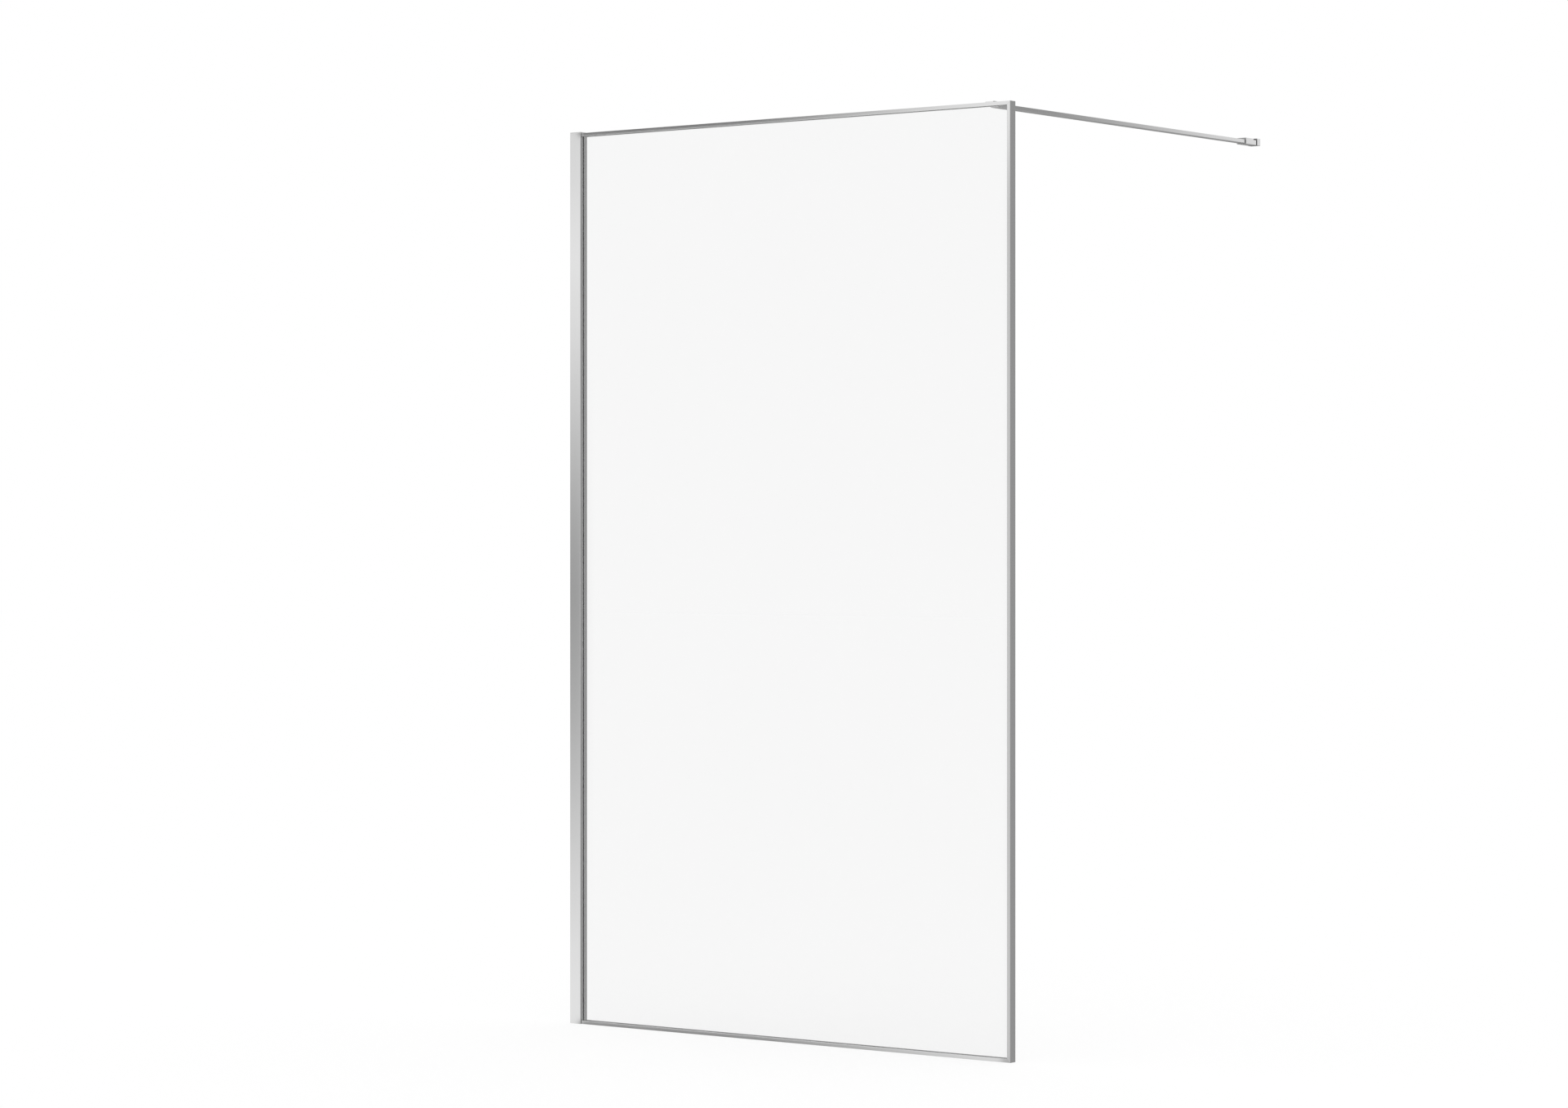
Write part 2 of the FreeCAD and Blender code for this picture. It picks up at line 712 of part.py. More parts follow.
def flange_cover():
    """Box-shaped cover over the wall base, open towards the wall, with a pocket for the arm's leg."""
    half_width = socket_width / 2
    wide = (bar_x - half_width, bar_x + half_width)
    tall = (flange_bottom, flange_top)
    box = rounded_rectangle(X, Z, wide, tall, flange_edge_radius, Y * leg_front)
    box = box.extrude(Y * (wall_b - leg_front))
    pocket_half = max(arm_leg_width / 2, arm_tip_radius) + arm_pocket_gap
    pocket_wide = (bar_x - pocket_half, bar_x + pocket_half)
    pocket_tall = (leg_bottom - arm_pocket_gap, socket_top + arm_pocket_gap)
    pocket = rectangle(X, Z, pocket_wide, pocket_tall, Y * leg_front).extrude(Y * arm_leg)
    inner_wide = (wide[0] + flange_wall, wide[1] - flange_wall)
    inner_tall = (tall[0] + flange_wall, tall[1] - flange_wall)
    inner = rectangle(X, Z, inner_wide, inner_tall, Y * (flange_front + flange_wall))
    inner = inner.extrude(Y * (flange_depth - flange_wall))
    hole_place = Vector(bar_x, flange_front, flange_middle)
    hole = Part.makeCylinder(arm_screw_diameter / 2 + hole_gap, flange_wall, hole_place, Y)
    return box.cut([inner, pocket, hole])


def wall_base():
    """Base block on the wall, inside the cover, with two wall screw holes and a tapped hole for the arm."""
    inset = flange_wall + base_gap
    half_width = socket_width / 2 - inset
    front = flange_front + flange_wall
    depth = wall_b - front
    wide = (bar_x - half_width, bar_x + half_width)
    tall = (flange_bottom + inset, flange_top - inset)
    block = rectangle(X, Z, wide, tall, Y * front).extrude(Y * depth)
    seat = countersunk_hole(base_hole_diameter, base_hole_head, depth, 0)
    tools = []
    for sign in (-1, 1):
        place = Vector(bar_x + sign * base_hole_spacing / 2, front, flange_middle)
        tools.append(placed(seat, place, -Y))
    tap_place = Vector(bar_x, front, flange_middle)
    tools.append(Part.makeCylinder(arm_screw_diameter / 2 + thread_gap, depth, tap_place, Y))
    return block.cut(tools)


def arm_screw():
    """Screw that holds the arm and the cover on the wall base."""
    screw = countersunk_screw(arm_screw_diameter, arm_screw_head, arm_screw_length)
    return placed(screw, arm_screw_place(), -Y)


nodes = {
    "wall_channel": wall_channel(),
    "channel_cap": channel_cap(),
    "top_rail": top_rail(),
    "bottom_rail": bottom_rail(),
    "free_stile": free_stile(),
    "wall_stile": wall_stile(),
    "glass_pane": glass_pane(),
    "gasket_top": upside_down(bottom_gasket()),
    "gasket_bottom": bottom_gasket(),
    "gasket_free": free_gasket(),
    "gasket_wall": wall_gasket(),
    "corner_key_top": upside_down(bottom_corner_key()),
    "corner_key_bottom": bottom_corner_key(),
    "stile_screws": stile_screws(),
    "clamp_nuts": clamp_nuts(),
    "clamp_screws": clamp_screws(),
    "brace_saddle": brace_saddle(),
    "saddle_nut_plate": saddle_nut_plate(),
    "saddle_screw": saddle_screw(),
    "brace_bar": brace_bar(),
    "bar_grub_screw": bar_grub_screw(),
    "bar_socket": bar_socket(),
    "socket_grub_screw": socket_grub_screw(),
    "swivel_pin": swivel_pin(),
    "swivel_washer": swivel_washer(),
    "swivel_arm": swivel_arm(),
    "flange_cover": flange_cover(),
    "wall_base": wall_base(),
    "arm_screw": arm_screw(),
}

os.makedirs("parts", exist_ok=True)
for name, shape in nodes.items():
    shape.exportStep(f"parts/{name}.step")
    box = shape.BoundBox
    spans = f"{box.XLength:.1f} x {box.YLength:.1f} x {box.ZLength:.1f} mm"
    print(f"{name}: {len(shape.Solids)} solids, valid {shape.isValid()}, {spans}, {shape.Volume:.1f} mm3")
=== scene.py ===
"""Looks of the walk-in shower screen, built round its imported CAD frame.

The CAD pieces keep their shapes and places. This script gives every piece its finish, adds the soft lips
of the glazing gasket, and sets up the studio: floor, reflector boards, lamp, world and camera.
"""
import functools
import logging
import math
from collections.abc import Mapping
from dataclasses import dataclass, replace
from enum import Enum
from typing import Optional, Union

import bmesh
import bpy
from mathutils import Matrix, Vector


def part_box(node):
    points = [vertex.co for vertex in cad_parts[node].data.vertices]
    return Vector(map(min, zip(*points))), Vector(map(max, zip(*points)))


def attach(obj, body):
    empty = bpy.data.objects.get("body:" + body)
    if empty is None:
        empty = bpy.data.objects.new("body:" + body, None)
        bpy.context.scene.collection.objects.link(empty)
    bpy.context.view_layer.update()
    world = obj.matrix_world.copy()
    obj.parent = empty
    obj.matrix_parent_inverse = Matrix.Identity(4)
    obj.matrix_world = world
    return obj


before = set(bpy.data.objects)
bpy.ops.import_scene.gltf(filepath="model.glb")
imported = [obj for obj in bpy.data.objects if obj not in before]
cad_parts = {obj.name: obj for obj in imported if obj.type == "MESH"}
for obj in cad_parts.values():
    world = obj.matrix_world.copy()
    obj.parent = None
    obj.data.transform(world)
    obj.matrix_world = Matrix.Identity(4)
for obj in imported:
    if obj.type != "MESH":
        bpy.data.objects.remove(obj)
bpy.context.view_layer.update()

log = logging.getLogger("shower_screen")

MM = 0.001
CLOUD_DETAIL = 3.0
WHITE = (1.0, 1.0, 1.0, 1.0)
BLACK = (0.0, 0.0, 0.0, 1.0)

Operand = Union["Value", float]
Setting = Union["Value", float, tuple[float, ...]]


class Axis(Enum):
    """Direction in the part's frame, named by its letter."""

    X = 0
    Y = 1
    Z = 2


class Value:
    """Output socket of a shader node that takes part in Python arithmetic."""

    def __init__(self, graph: "NodeGraph", socket: bpy.types.NodeSocket) -> None:
        """Wrap one output socket of a graph."""
        self.graph = graph
        self.socket = socket

    def _math(self, operation: str, first: Operand, second: Operand = 0.0) -> "Value":
        """Add a Math node.

        Args:
            operation: name of the Math node's operation.
            first: left operand.
            second: right operand, unused by operations on one number.

        Returns:
            The node's result.
        """
        node = self.graph.add("ShaderNodeMath", {"operation": operation}, {0: first, 1: second})
        return self.graph.value(node)

    def __add__(self, other: Operand) -> "Value":
        """Sum of this and another value."""
        return self._math("ADD", self, other)

    def __radd__(self, other: Operand) -> "Value":
        """Sum of a number and this value."""
        return self._math("ADD", other, self)

    def __sub__(self, other: Operand) -> "Value":
        """This value less another."""
        return self._math("SUBTRACT", self, other)

    def __rsub__(self, other: Operand) -> "Value":
        """A number less this value."""
        return self._math("SUBTRACT", other, self)

    def __mul__(self, other: Operand) -> "Value":
        """Product of this and another value."""
        return self._math("MULTIPLY", self, other)

    def __rmul__(self, other: Operand) -> "Value":
        """Product of a number and this value."""
        return self._math("MULTIPLY", other, self)

    def __truediv__(self, other: Operand) -> "Value":
        """This value over another."""
        return self._math("DIVIDE", self, other)

    def __rtruediv__(self, other: Operand) -> "Value":
        """A number over this value."""
        return self._math("DIVIDE", other, self)

    def __abs__(self) -> "Value":
        """Size of this value without its sign."""
        return self._math("ABSOLUTE", self)

    def at_most(self, other: Operand) -> "Value":
        """Lesser of this and another value."""
        return self._math("MINIMUM", self, other)

    def at_least(self, other: Operand) -> "Value":
        """Greater of this and another value."""
        return self._math("MAXIMUM", self, other)

    def rise(self, low: float, high: float) -> "Value":
        """Smooth step of this value.

        Args:
            low: value at which the step is 0.
            high: value at which the step is 1, below low for a falling step.

        Returns:
            The step, from 0 to 1.
        """
        settings = {"interpolation_type": "SMOOTHSTEP"}
        inputs = {"Value": self, "From Min": low, "From Max": high}
        return self.graph.value(self.graph.add("ShaderNodeMapRange", settings, inputs))


class NodeGraph:
    """Node tree that is filled by expressions."""

    def __init__(self, tree: bpy.types.NodeTree) -> None:
        """Start from an emptied tree."""
        self.tree = tree
        self.tree.nodes.clear()

    def add(
        self,
        kind: str,
        settings: Optional[Mapping[str, object]] = None,
        inputs: Optional[Mapping[Union[str, int], Setting]] = None,
    ) -> bpy.types.Node:
        """Add one node.

        Args:
            kind: the node's type.
            settings: attributes of the node, set first.
            inputs: numbers, colours or links by socket name or place.

        Returns:
            The new node.
        """
        node = self.tree.nodes.new(kind)
        for name, setting in (settings or {}).items():
            setattr(node, name, setting)
        for key, given in (inputs or {}).items():
            if isinstance(given, Value):
                self.tree.links.new(given.socket, node.inputs[key])
            else:
                node.inputs[key].default_value = given
        return node

    def value(self, node: bpy.types.Node, output: Union[str, int] = 0) -> Value:
        """Wrap an output of a node."""
        return Value(self, node.outputs[output])

    def point(self) -> Value:
        """Place on the piece, in metres in the part's frame."""
        return self.value(self.add("ShaderNodeTexCoord"), "Object")

    def direction(self) -> Value:
        """Direction of the ray that leaves the scene, for a world."""
        return self.value(self.add("ShaderNodeTexCoord"), "Generated")

    def parts(self, vector: Value) -> tuple[Value, Value, Value]:
        """Three components of a vector."""
        node = self.add("ShaderNodeSeparateXYZ", inputs={0: vector})
        x, y, z = (self.value(node, name) for name in "XYZ")
        return x, y, z

    def scaled(self, vector: Value, factors: tuple[float, float, float]) -> Value:
        """Vector times a factor along each axis."""
        settings = {"operation": "MULTIPLY"}
        return self.value(self.add("ShaderNodeVectorMath", settings, {0: vector, 1: factors}))

    def noise(self, vector: Value, scale: float, detail: float = 2.0) -> Value:
        """Soft noise between 0 and 1.

        Args:
            vector: place to read the noise at.
            scale: cells per unit of that place.
            detail: number of finer layers.

        Returns:
            The noise.
        """
        inputs = {"Vector": vector, "Scale": scale, "Detail": detail}
        return self.value(self.add("ShaderNodeTexNoise", inputs=inputs), "Fac")

    def blend(self, share: Operand, first: Setting, second: Setting) -> Value:
        """Mix of two colours.

        Args:
            share: part of the second colour, from 0 to 1.
            first: colour at share 0.
            second: colour at share 1.

        Returns:
            The mixed colour.
        """
        node = self.add("ShaderNodeMix", {"data_type": "RGBA"}, {0: share, 6: first, 7: second})
        return self.value(node, 2)

    def bump(self, height: Value, depth: float) -> Value:
        """Normal that follows a height.

        Args:
            height: relief between 0 and 1.
            depth: depth of the relief in metres.

        Returns:
            The bumped normal.
        """
        inputs = {"Strength": 1.0, "Distance": depth, "Height": height}
        return self.value(self.add("ShaderNodeBump", inputs=inputs))

    def surface(self, inputs: Mapping[str, Setting]) -> None:
        """Close the tree with a Principled shader.

        Args:
            inputs: numbers, colours or links by socket name.
        """
        shader = self.add("ShaderNodeBsdfPrincipled", inputs=inputs)
        self.add("ShaderNodeOutputMaterial", inputs={"Surface": self.value(shader)})


def grey(level: float) -> tuple[float, float, float, float]:
    """Neutral colour of a linear level."""
    return (level, level, level, 1.0)


@dataclass(frozen=True)
class Mitre:
    """Painted shade of the hairline gap where two members of the frame meet at 45 degrees."""

    free_edge: float
    top: float
    width: float = 0.16 * MM
    gap_shade_share: float = 0.2

    def mask(self, graph: NodeGraph, point: Value) -> Value:
        """Where the painted shade of the hairline runs.

        Args:
            graph: tree of the material.
            point: place on the piece.

        Returns:
            1 on the line, falling to 0 at its sides.
        """
        x, _, z = graph.parts(point)
        inward = self.free_edge - x
        nearest = abs(inward - z).at_most(abs(inward - (self.top - z)))
        return nearest.rise(self.width, 0.0)


@dataclass(frozen=True)
class ShadedEndFace:
    """End face of a piece along an axis: painted shade and dark reflection, with satin roughness."""

    axis: Axis
    place: float
    depth: float = 0.3 * MM
    tone: float = 0.38
    roughness: float = 0.35

    def mask(self, graph: NodeGraph, point: Value) -> Value:
        """Where the end face with its painted shade lies.

        Args:
            graph: tree of the material.
            point: place on the piece.

        Returns:
            1 on the face, 0 behind it.
        """
        height = graph.parts(point)[self.axis.value]
        return height.rise(self.place + self.depth, self.place + self.depth / 2)


@dataclass(frozen=True)
class Finish:
    """Surface of a piece, with the record's slot that it stands for."""

    name: str
    slot: str

    def fill(self, graph: NodeGraph) -> None:
        """Write the finish into an empty tree."""
        raise NotImplementedError

    def material(self) -> bpy.types.Material:
        """Material of this finish, made once."""
        return made_material(self)


@functools.cache
def made_material(finish: Finish) -> bpy.types.Material:
    """Make the material of a finish.

    Args:
        finish: the surface to make.

    Returns:
        The filled material.
    """
    material = bpy.data.materials.new(finish.name)
    material.use_nodes = True
    finish.fill(NodeGraph(material.node_tree))
    return material


@dataclass(frozen=True)
class DrawnMetal(Finish):
    """Bright extruded or cast metal, with fine lines along the way it was drawn and faint clouds."""

    tone: float = 0.75
    roughness: float = 0.07
    grain: Optional[Axis] = None
    line_pitch: float = 0.35 * MM
    line_length: float = 400 * MM
    line_depth: float = 0.0004 * MM
    cloud_size: float = 120 * MM
    cloud_share: float = 0.05
    rough_least: float = 0.75
    rough_clouds: float = 0.3
    rough_lines: float = 0.2
    mitre: Optional[Mitre] = None
    shaded_end: Optional[ShadedEndFace] = None

    def fill(self, graph: NodeGraph) -> None:
        """Write the metal into an empty tree."""
        point = graph.point()
        stretch = [1 / self.line_pitch] * 3
        if self.grain is not None:
            stretch[self.grain.value] = 1 / self.line_length
        lines = graph.noise(graph.scaled(point, tuple(stretch)), scale=1.0)
        clouds = graph.noise(point, 1 / self.cloud_size, CLOUD_DETAIL)
        half = self.cloud_share / 2
        colour = graph.blend(clouds, grey(self.tone * (1 + half)), grey(self.tone * (1 - half)))
        uneven = self.rough_least + self.rough_clouds * clouds + self.rough_lines * lines
        roughness = self.roughness * uneven
        if self.mitre is not None:
            # Painted shade of the hairline gap at the mitre, darker than the metal.
            line = grey(self.tone * self.mitre.gap_shade_share)
            colour = graph.blend(self.mitre.mask(graph, point), colour, line)
        if self.shaded_end is not None:
            # Painted shade and dark reflection on the end face, with satin roughness.
            end = self.shaded_end.mask(graph, point)
            colour = graph.blend(end, colour, grey(self.shaded_end.tone))
            roughness = roughness.at_least(end * self.shaded_end.roughness)
        graph.surface({
            "Base Color": colour,
            "Metallic": 1.0,
            "Roughness": roughness,
            "Normal": graph.bump(lines, self.line_depth),
        })


@dataclass(frozen=True)
class ClearGlass(Finish):
    """Toughened low-iron glass, almost clear, with a very faint drawn wave."""

    clear: float = 0.926
    faint: float = 0.932
    wave_size: float = 350 * MM
    haze: float = 0.006
    ior: float = 1.52

    def fill(self, graph: NodeGraph) -> None:
        """Write the glass into an empty tree."""
        clouds = graph.noise(graph.point(), 1 / self.wave_size, detail=1.0)
        graph.surface({
            "Base Color": graph.blend(clouds, grey(self.clear), grey(self.faint)),
            "Roughness": self.haze * clouds,
            "IOR": self.ior,
            "Transmission Weight": 1.0,
        })


@dataclass(frozen=True)
class Moulded(Finish):
    """Rubber, nylon or paint: a matt to satin surface with a fine pebbled relief."""

    tone: float = 0.05
    roughness: float = 0.6
    metallic: float = 0.0
    pebble_size: float = 0.4 * MM
    pebble_depth: float = 0.01 * MM
    clouds_per_metre: float = 30.0
    variation: float = 0.25
    roughness_spread: float = 0.12

    def fill(self, graph: NodeGraph) -> None:
        """Write the moulded surface into an empty tree."""
        point = graph.point()
        pebbles = graph.noise(point, 1 / self.pebble_size)
        clouds = graph.noise(point, self.clouds_per_metre, CLOUD_DETAIL)
        low, high = self.tone * (1 - self.variation), self.tone * (1 + self.variation)
        graph.surface({
            "Base Color": graph.blend(clouds, grey(low), grey(high)),
            "Metallic": self.metallic,
            "Roughness": self.roughness + self.roughness_spread * (clouds - 0.5),
            "Normal": graph.bump(pebbles, self.pebble_depth),
        })


class Dresser:
    """Gives CAD pieces and new pieces their finish."""

    def __init__(self) -> None:
        """Remember the CAD pieces that still wait for a finish."""
        self.waiting = set(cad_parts)

    def node(self, name: str, finish: Finish) -> None:
        """Dress a CAD piece.

        Args:
            name: the CAD node.
            finish: its surface.
        """
        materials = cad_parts[name].data.materials
        materials.clear()
        materials.append(finish.material())
        self.waiting.discard(name)
        log.info("dressed %s with %s", name, finish.name)

    def piece(self, name: str, mesh: bmesh.types.BMesh, finish: Finish, body: str) -> None:
        """Make a new piece of the part.

        Args:
            name: the piece's name.
            mesh: its shape in the part's frame, freed here.
            finish: its surface.
            body: the CAD body that it moves with.
        """
        data = bpy.data.meshes.new(name)
        mesh.to_mesh(data)
        mesh.free()
        data.materials.append(finish.material())
        made = bpy.data.objects.new(name, data)
        bpy.context.scene.collection.objects.link(made)
        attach(made, body)
        log.info("built %s on %s with %s", name, body, finish.name)


STAINLESS = DrawnMetal("stainless_screws", "screw_steel", tone=0.6, roughness=0.2, line_pitch=0.2 * MM)
CAST_CHROME = DrawnMetal("chromed_casting", "polished_casting", line_pitch=1.2 * MM,
                         line_depth=0.0008 * MM)
RAW_CASTING = DrawnMetal("raw_casting", "key_casting", tone=0.5, roughness=0.45, line_pitch=0.5 * MM,
                         line_depth=0.02 * MM)
SEAL = Moulded("silver_grey_seal", "seal_grey", tone=0.3, roughness=0.5, metallic=0.7)
SOFT_LIP = Moulded("soft_lip", "seal_grey", tone=0.72, roughness=0.45, variation=0.08)


@dataclass
class WallProfile:
    """Channel on the wall and the cap on its top end."""

    channel: DrawnMetal = DrawnMetal("channel_aluminium", "polished_aluminium", roughness=0.04,
                                     grain=Axis.Z, line_depth=0.0003 * MM)
    cap: DrawnMetal = DrawnMetal("cap_plating", "plated_cap", roughness=0.1, line_pitch=1.5 * MM)

    def dress(self, dresser: Dresser) -> None:
        """Dress the channel and its cap."""
        dresser.node("wall_channel", self.channel)
        dresser.node("channel_cap", self.cap)


@dataclass
class PanelFrame:
    """Rails, stiles and keys round the glass, and the screws that hold and clamp them."""

    rail_roughness: float = 0.04
    rail_line_depth: float = 0.00012 * MM

    def dress(self, dresser: Dresser) -> None:
        """Dress the members along their own direction, then what holds them."""
        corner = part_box("free_stile")[1]
        mitre = Mitre(free_edge=corner.x, top=corner.z)
        rail = DrawnMetal("rail_aluminium", "polished_aluminium", roughness=self.rail_roughness,
                          grain=Axis.X, line_depth=self.rail_line_depth, mitre=mitre)
        stile = DrawnMetal("stile_aluminium", "polished_aluminium", grain=Axis.Z, mitre=mitre)
        dresser.node("top_rail", rail)
        dresser.node("bottom_rail", rail)
        dresser.node("free_stile", stile)
        dresser.node("wall_stile", stile)
        for name in ("corner_key_top", "corner_key_bottom"):
            dresser.node(name, RAW_CASTING)
        for name in ("stile_screws", "clamp_nuts", "clamp_screws"):
            dresser.node(name, STAINLESS)


@dataclass(frozen=True)
class Opening:
    """Clear opening that the gaskets leave on the pane."""

    left: float
    right: float
    low: float
    high: float

    def holds(self, x: float, z: float, margin: float) -> bool:
        """Whether a place lies well inside the opening.

        Args:
            x: place along the width.
            z: place along the height.
            margin: least distance from the edges of the opening.

        Returns:
            True for a place further inside than the margin.
        """
        within_width = self.left + margin < x < self.right - margin
        within_height = self.low + margin < z < self.high - margin
        return within_width and within_height


@dataclass
class Glazing:
    """Pane, its gaskets, and the soft lips that close the gaskets on both faces of the pane."""

    glass: ClearGlass = ClearGlass("clear_glass", "clear_glass")
    lip_height: float = 0.5 * MM
    lip_play: float = 0.02 * MM
    lip_rounding: float = 0.35 * MM
    lip_segments: int = 4

    def dress(self, dresser: Dresser) -> None:
        """Dress the pane and the gaskets."""
        dresser.node("glass_pane", self.glass)
        for side in ("top", "bottom", "free", "wall"):
            dresser.node(f"gasket_{side}", SEAL)

    def opening(self) -> Opening:
        """Opening between the edges of the four gaskets."""
        return Opening(left=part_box("gasket_wall")[1].x, right=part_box("gasket_free")[0].x,
                       low=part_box("gasket_bottom")[1].z, high=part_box("gasket_top")[0].z)

    def lip(self, near: float, far: float) -> bmesh.types.BMesh:
        """Frame-shaped lip on one face of the pane, on the gasket's edges.

        Args:
            near: depth of the lip's face on the pane.
            far: depth of the lip's outer face.

        Returns:
            The lip's shape.
        """
        hole = self.opening()
        mesh = bmesh.new()
        # A square of side 1, stretched to the opening and stood upright.
        bmesh.ops.create_grid(mesh, x_segments=1, y_segments=1, size=0.5)
        bmesh.ops.scale(mesh, vec=(hole.right - hole.left, hole.high - hole.low, 1.0), verts=mesh.verts)
        bmesh.ops.rotate(mesh, matrix=Matrix.Rotation(math.pi / 2, 3, "X"), verts=mesh.verts)
        middle = Vector(((hole.left + hole.right) / 2, near, (hole.low + hole.high) / 2))
        bmesh.ops.translate(mesh, vec=middle, verts=mesh.verts)
        pane = mesh.faces[:]
        bmesh.ops.inset_region(mesh, faces=pane, thickness=self.lip_height, use_boundary=True,
                               use_even_offset=True)
        bmesh.ops.delete(mesh, geom=pane, context="FACES")
        ring = bmesh.ops.extrude_face_region(mesh, geom=mesh.faces[:], use_keep_orig=True)
        moved = [item for item in ring["geom"] if isinstance(item, bmesh.types.BMVert)]
        bmesh.ops.translate(mesh, vec=(0.0, far - near, 0.0), verts=moved)
        bmesh.ops.recalc_face_normals(mesh, faces=mesh.faces)
        mouth = [edge for edge in mesh.edges if self.faces_pane(edge, far, hole)]
        bmesh.ops.bevel(mesh, geom=mouth, offset=self.lip_rounding, affect="EDGES",
                        segments=self.lip_segments, profile=0.5, material=-1)
        for face in mesh.faces:
            face.smooth = True
        return mesh

    def faces_pane(self, edge: bmesh.types.BMEdge, far: float, hole: Opening) -> bool:
        """Whether an edge is the lip's rounded one, outside and towards the pane's middle.

        Args:
            edge: edge of the lip.
            far: depth of the lip's outer face.
            hole: opening that the lip runs round.

        Returns:
            True for an edge that gets rounded.
        """
        for vert in edge.verts:
            x, y, z = vert.co
            if not hole.holds(x, z, self.lip_height / 2) or abs(y - far) > self.lip_play:
                return False
        return True

    def build(self, dresser: Dresser) -> None:
        """Add the lips on both faces of the pane."""
        glass_low, glass_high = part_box("glass_pane")
        seal_low, seal_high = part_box("gasket_bottom")
        play = self.lip_play
        front = self.lip(glass_low.y - play, seal_low.y + play)
        back = self.lip(glass_high.y + play, seal_high.y - play)
        dresser.piece("gasket_lip_front", front, SOFT_LIP, "panel")
        dresser.piece("gasket_lip_back", back, SOFT_LIP, "panel")


@dataclass
class Brace:
    """Bar over the shower with the saddle that carries it on the top rail."""

    bar: DrawnMetal = DrawnMetal("bar_aluminium", "polished_aluminium", grain=Axis.Y)

    def dress(self, dresser: Dresser) -> None:
        """Dress the bar, the saddle and their screws."""
        dresser.node("brace_bar", self.bar)
        dresser.node("brace_saddle", CAST_CHROME)
        for name in ("saddle_nut_plate", "saddle_screw", "bar_grub_screw"):
            dresser.node(name, STAINLESS)


@dataclass
class WallBracket:
    """Socket, swivel arm and flange that hold the bar on the other wall."""

    arm: Moulded = Moulded("black_satin_arm", "dark_steel", tone=0.018, roughness=0.42,
                           pebble_size=0.25 * MM, pebble_depth=0.003 * MM)
    washer: Moulded = Moulded("nylon_washer", "washer_nylon", tone=0.03, roughness=0.5)

    def dress(self, dresser: Dresser) -> None:
        """Dress the bracket's pieces."""
        # The mouth face of the socket is painted darker as shade and dark reflection.
        mouth = ShadedEndFace(Axis.Y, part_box("bar_socket")[0].y)
        dresser.node("bar_socket", replace(CAST_CHROME, name="socket_casting_shaded_mouth", shaded_end=mouth))
        # The front face of the flange is painted darker as the shade of the gap beside the socket.
        front = ShadedEndFace(Axis.Y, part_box("flange_cover")[0].y, tone=0.3, roughness=0.4)
        dresser.node("flange_cover", replace(CAST_CHROME, name="flange_casting_shaded_front", shaded_end=front))
        for name in ("socket_grub_screw", "swivel_pin", "arm_screw"):
            dresser.node(name, STAINLESS)
        dresser.node("wall_base", RAW_CASTING)
        dresser.node("swivel_arm", self.arm)
        dresser.node("swivel_washer", self.washer)


@dataclass(frozen=True)
class Fade:
    """Soft edge of a patch, along one direction."""

    outside: float
    inside: float

    def of(self, place: Value) -> Value:
        """0 outside the edge, rising to 1 inside it."""
        return place.rise(self.outside, self.inside)


@dataclass(frozen=True)
class Shade:
    """Darker patch of a reflector board, bounded by soft edges."""

    strength: float
    across: tuple[Fade, ...] = ()
    up: tuple[Fade, ...] = ()

    def taken(self, across: Value, up: Value) -> Operand:
        """Light that the patch takes away.

        Args:
            across: place along the width of the screen.
            up: place along its height.

        Returns:
            0 outside the patch, its strength inside.
        """
        light: Operand = self.strength
        for place, fades in ((across, self.across), (up, self.up)):
            for fade in fades:
                light = light * fade.of(place)
        return light


@dataclass(frozen=True)
class Board:
    """Reflector board with soft edges, out of the picture, which only polished surfaces see."""

    name: str
    depth: float
    span: tuple[float, float]
    tall: tuple[float, float]
    level: float = 1.0
    shades: tuple[Shade, ...] = ()
    feather: float = 0.2

    def share(self, x: Value, z: Value) -> Operand:
        """Share of the board that shows.

        Args:
            x: place along its width.
            z: place along its height.

        Returns:
            1 on the board, falling to 0 at its edges.
        """
        share: Operand = 1.0
        for place, (low, high) in ((x, self.span), (z, self.tall)):
            edges = (Fade(low, low + self.feather), Fade(high, high - self.feather))
            for edge in edges:
                share = share * edge.of(place)
        return share

    def corners(self) -> tuple[tuple[float, float, float], ...]:
        """Corners of the board in order."""
        (left, right), (low, high), depth = self.span, self.tall, self.depth
        return (left, depth, low), (right, depth, low), (right, depth, high), (left, depth, high)


ON_CHANNEL = (Fade(0.065, 0.04), Fade(-0.4, -0.12))
CHANNEL_BAND = Shade(0.56, across=ON_CHANNEL, up=(Fade(1.75, 0.95), Fade(0.0, 0.98)))
CHANNEL_TOP_SHADE = Shade(0.1, across=ON_CHANNEL, up=(Fade(1.72, 1.97), Fade(2.4, 2.1)))
TOP_RAIL_SHADE = Shade(0.84, across=(Fade(0.028, 0.037), Fade(1.22, 0.42)),
                       up=(Fade(1.9885, 1.992), Fade(2.4, 2.1)))
BOTTOM_RAIL_SHADE = Shade(0.74, across=(Fade(0.027, 0.036), Fade(1.45, 0.4)),
                          up=(Fade(0.0115, 0.008), Fade(-0.4, -0.1)))
FREE_STILE_SHADE = Shade(0.36, across=(Fade(1.165, 1.18), Fade(1.6, 1.3)), up=(Fade(2.02, 1.75),))
RIGHT_SHADE = Shade(0.66, across=(Fade(4.95, 6.55), Fade(7.4, 6.6)))
LEFT_SHADE = Shade(0.05, across=(Fade(-4.5, -6.5),))
FRONT_SHADES = (CHANNEL_BAND, CHANNEL_TOP_SHADE, TOP_RAIL_SHADE, BOTTOM_RAIL_SHADE, FREE_STILE_SHADE)
FRONT_BOARD = Board("board_front", depth=-2.5, span=(-3.1, 0.7), tall=(-1.4, 3.5), shades=FRONT_SHADES,
                    feather=0.6)
RIGHT_BOARD = Board("board_right", depth=8.0, span=(4.7, 14.1), tall=(-4.1, 7.1), shades=(RIGHT_SHADE,))
LEFT_BOARD = Board("board_left", depth=8.0, span=(-9.1, -2.1), tall=(-2.1, 4.1), level=0.32,
                   shades=(LEFT_SHADE,))


